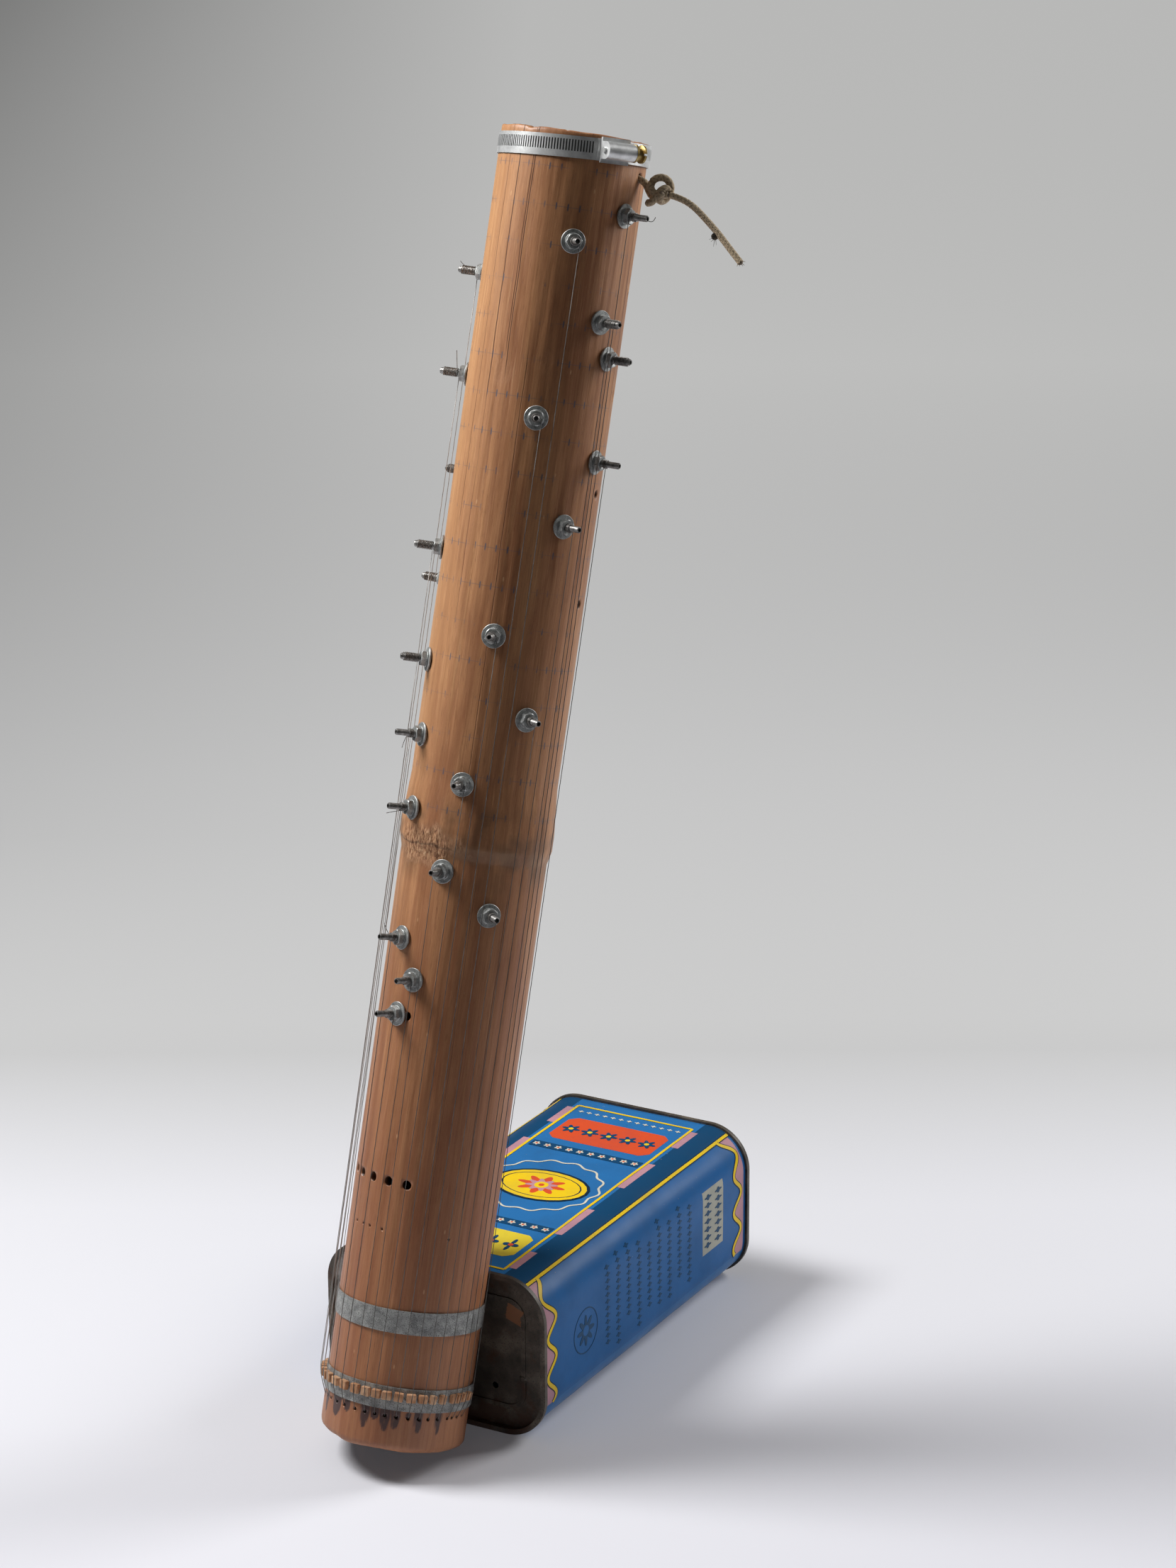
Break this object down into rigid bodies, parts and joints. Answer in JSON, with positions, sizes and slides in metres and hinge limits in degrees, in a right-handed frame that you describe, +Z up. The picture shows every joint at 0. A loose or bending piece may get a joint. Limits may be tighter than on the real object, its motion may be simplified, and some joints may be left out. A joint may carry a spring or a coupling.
{
  "type": "tube zither",
  "caption": "Bamboo tube zither with wire strings on tuning pins round the tube, leaning back into a saddle cut in a flat tin that serves as its resonator and foot",
  "frame": {"origin": "on the floor, at the middle of the tin's near rim", "axes": "+Z up; +Y along the tin, away from the tube; +X to the right for someone who faces the strings"},
  "size_m": [0.2082, 0.3633, 0.7801],
  "materials": {
    "bamboo": "satin, worn",
    "bridge_wood": "bare",
    "galvanised": "mottled zinc",
    "zinc_steel": "bright zinc",
    "pin_steel": "wound wire",
    "string_wire": "drawn wire",
    "clamp_steel": "bright",
    "clamp_screw_brass": "yellow zinc",
    "printed_tin": "glossy print, rubbed",
    "bare_tin": "dark patina, rust at the rim",
    "cord_fibre": "braided"
  },
  "bodies": {
    "root": {"bamboo_tube": "bamboo", "clamp_band": "clamp_steel", "clamp_housing": "clamp_steel", "upper_strap": "galvanised", "lower_strap": "galvanised", "strap_nails": "galvanised", "bridges_left": "bridge_wood", "bridges_front": "bridge_wood", "bridges_right": "bridge_wood", "pin_washers": "zinc_steel", "pin_nuts": "zinc_steel", "strings_left": "string_wire", "strings_front": "string_wire", "strings_right": "string_wire", "tin_body": "printed_tin", "tin_near_end": "bare_tin", "tin_far_end": "bare_tin", "tin_screws": "zinc_steel", "cord": "cord_fibre", "cord_knot": "cord_fibre", "cord_stop_knot": "cord_fibre", "cord_tie": "cord_fibre"},
    "pin_01": {"tuning_pin_01": "pin_steel"},
    "pin_02": {"tuning_pin_02": "pin_steel"},
    "pin_03": {"tuning_pin_03": "pin_steel"},
    "pin_04": {"tuning_pin_04": "pin_steel"},
    "pin_05": {"tuning_pin_05": "pin_steel"},
    "pin_06": {"tuning_pin_06": "pin_steel"},
    "pin_07": {"tuning_pin_07": "pin_steel"},
    "pin_08": {"tuning_pin_08": "pin_steel"},
    "pin_09": {"tuning_pin_09": "pin_steel"},
    "pin_10": {"tuning_pin_10": "pin_steel"},
    "pin_11": {"tuning_pin_11": "pin_steel"},
    "pin_12": {"tuning_pin_12": "pin_steel"},
    "pin_13": {"tuning_pin_13": "pin_steel"},
    "pin_14": {"tuning_pin_14": "pin_steel"},
    "pin_15": {"tuning_pin_15": "pin_steel"},
    "pin_16": {"tuning_pin_16": "pin_steel"},
    "pin_17": {"tuning_pin_17": "pin_steel"},
    "pin_18": {"tuning_pin_18": "pin_steel"},
    "pin_19": {"tuning_pin_19": "pin_steel"},
    "pin_20": {"tuning_pin_20": "pin_steel"},
    "pin_21": {"tuning_pin_21": "pin_steel"},
    "pin_22": {"tuning_pin_22": "pin_steel"},
    "pin_23": {"tuning_pin_23": "pin_steel"},
    "screw": {"clamp_screw": "clamp_screw_brass"}
  },
  "joints": [
    {"name": "pin_01_turn", "type": "hinge", "parent": "root", "child": "pin_01", "pos_m": [-0.03068, 0.10454, 0.57036], "axis": [-0.9908, 0.1343, -0.014], "continuous": true},
    {"name": "pin_02_turn", "type": "hinge", "parent": "root", "child": "pin_02", "pos_m": [-0.03249, 0.08081, 0.50923], "axis": [-0.9995, -0.0168, 0.0273], "continuous": true},
    {"name": "pin_03_turn", "type": "hinge", "parent": "root", "child": "pin_03", "pos_m": [-0.02785, 0.12259, 0.68759], "axis": [-0.985, -0.1593, 0.0656], "continuous": true},
    {"name": "pin_04_turn", "type": "hinge", "parent": "root", "child": "pin_04", "pos_m": [-0.02747, 0.10029, 0.63092], "axis": [-0.9462, -0.3062, 0.1047], "continuous": true},
    {"name": "pin_05_turn", "type": "hinge", "parent": "root", "child": "pin_05", "pos_m": [-0.02682, 0.06686, 0.53326], "axis": [-0.8799, -0.453, 0.1431], "continuous": true},
    {"name": "pin_06_turn", "type": "hinge", "parent": "root", "child": "pin_06", "pos_m": [-0.02235, 0.04138, 0.47165], "axis": [-0.7448, -0.6394, 0.1907], "continuous": true},
    {"name": "pin_07_turn", "type": "hinge", "parent": "root", "child": "pin_07", "pos_m": [-0.01744, 0.02454, 0.43049], "axis": [-0.6108, -0.7604, 0.2205], "continuous": true},
    {"name": "pin_08_turn", "type": "hinge", "parent": "root", "child": "pin_08", "pos_m": [-0.01496, 0.00868, 0.38993], "axis": [-0.5098, -0.8272, 0.2364], "continuous": true},
    {"name": "pin_09_turn", "type": "hinge", "parent": "root", "child": "pin_09", "pos_m": [-0.01111, -0.0122, 0.31568], "axis": [-0.406, -0.8795, 0.2482], "continuous": true},
    {"name": "pin_10_turn", "type": "hinge", "parent": "root", "child": "pin_10", "pos_m": [-0.00722, -0.02574, 0.27283], "axis": [-0.295, -0.9204, 0.2568], "continuous": true},
    {"name": "pin_11_turn", "type": "hinge", "parent": "root", "child": "pin_11", "pos_m": [0.00163, -0.02167, 0.29434], "axis": [-0.1038, -0.9592, 0.263], "continuous": true},
    {"name": "pin_12_turn", "type": "hinge", "parent": "root", "child": "pin_12", "pos_m": [0.01248, -0.00418, 0.35859], "axis": [0.1104, -0.9597, 0.2583], "continuous": true},
    {"name": "pin_13_turn", "type": "hinge", "parent": "root", "child": "pin_13", "pos_m": [0.01849, 0.00986, 0.40922], "axis": [0.2188, -0.9429, 0.2513], "continuous": true},
    {"name": "pin_14_turn", "type": "hinge", "parent": "root", "child": "pin_14", "pos_m": [0.02603, 0.03526, 0.49421], "axis": [0.3492, -0.9062, 0.2384], "continuous": true},
    {"name": "pin_15_turn", "type": "hinge", "parent": "root", "child": "pin_15", "pos_m": [0.03488, 0.07171, 0.61771], "axis": [0.4868, -0.8457, 0.2188], "continuous": true},
    {"name": "pin_16_turn", "type": "hinge", "parent": "root", "child": "pin_16", "pos_m": [0.04282, 0.10251, 0.7167], "axis": [0.6161, -0.7635, 0.1935], "continuous": true},
    {"name": "pin_17_turn", "type": "hinge", "parent": "root", "child": "pin_17", "pos_m": [0.0391, 0.00299, 0.33322], "axis": [0.7293, -0.6643, 0.164], "continuous": true},
    {"name": "pin_18_turn", "type": "hinge", "parent": "root", "child": "pin_18", "pos_m": [0.04552, 0.03825, 0.44489], "axis": [0.8174, -0.5604, 0.1337], "continuous": true},
    {"name": "pin_19_turn", "type": "hinge", "parent": "root", "child": "pin_19", "pos_m": [0.0513, 0.07356, 0.5541], "axis": [0.8919, -0.4411, 0.0996], "continuous": true},
    {"name": "pin_20_turn", "type": "hinge", "parent": "root", "child": "pin_20", "pos_m": [0.05621, 0.11023, 0.66868], "axis": [0.9438, -0.3237, 0.0666], "continuous": true},
    {"name": "pin_21_turn", "type": "hinge", "parent": "root", "child": "pin_21", "pos_m": [0.05948, 0.13392, 0.72734], "axis": [0.987, -0.1593, 0.0209], "continuous": true},
    {"name": "pin_22_turn", "type": "hinge", "parent": "root", "child": "pin_22", "pos_m": [0.058, 0.11464, 0.64626], "axis": [0.9949, -0.1009, 0.0048], "continuous": true},
    {"name": "pin_23_turn", "type": "hinge", "parent": "root", "child": "pin_23", "pos_m": [0.05687, 0.10171, 0.58706], "axis": [0.9993, -0.0337, -0.0135], "continuous": true},
    {"name": "clamp_screw_turn", "type": "hinge", "parent": "root", "child": "screw", "pos_m": [0.06055, 0.12607, 0.76637], "axis": [0.4952, 0.8444, -0.2043], "continuous": true}
  ]
}
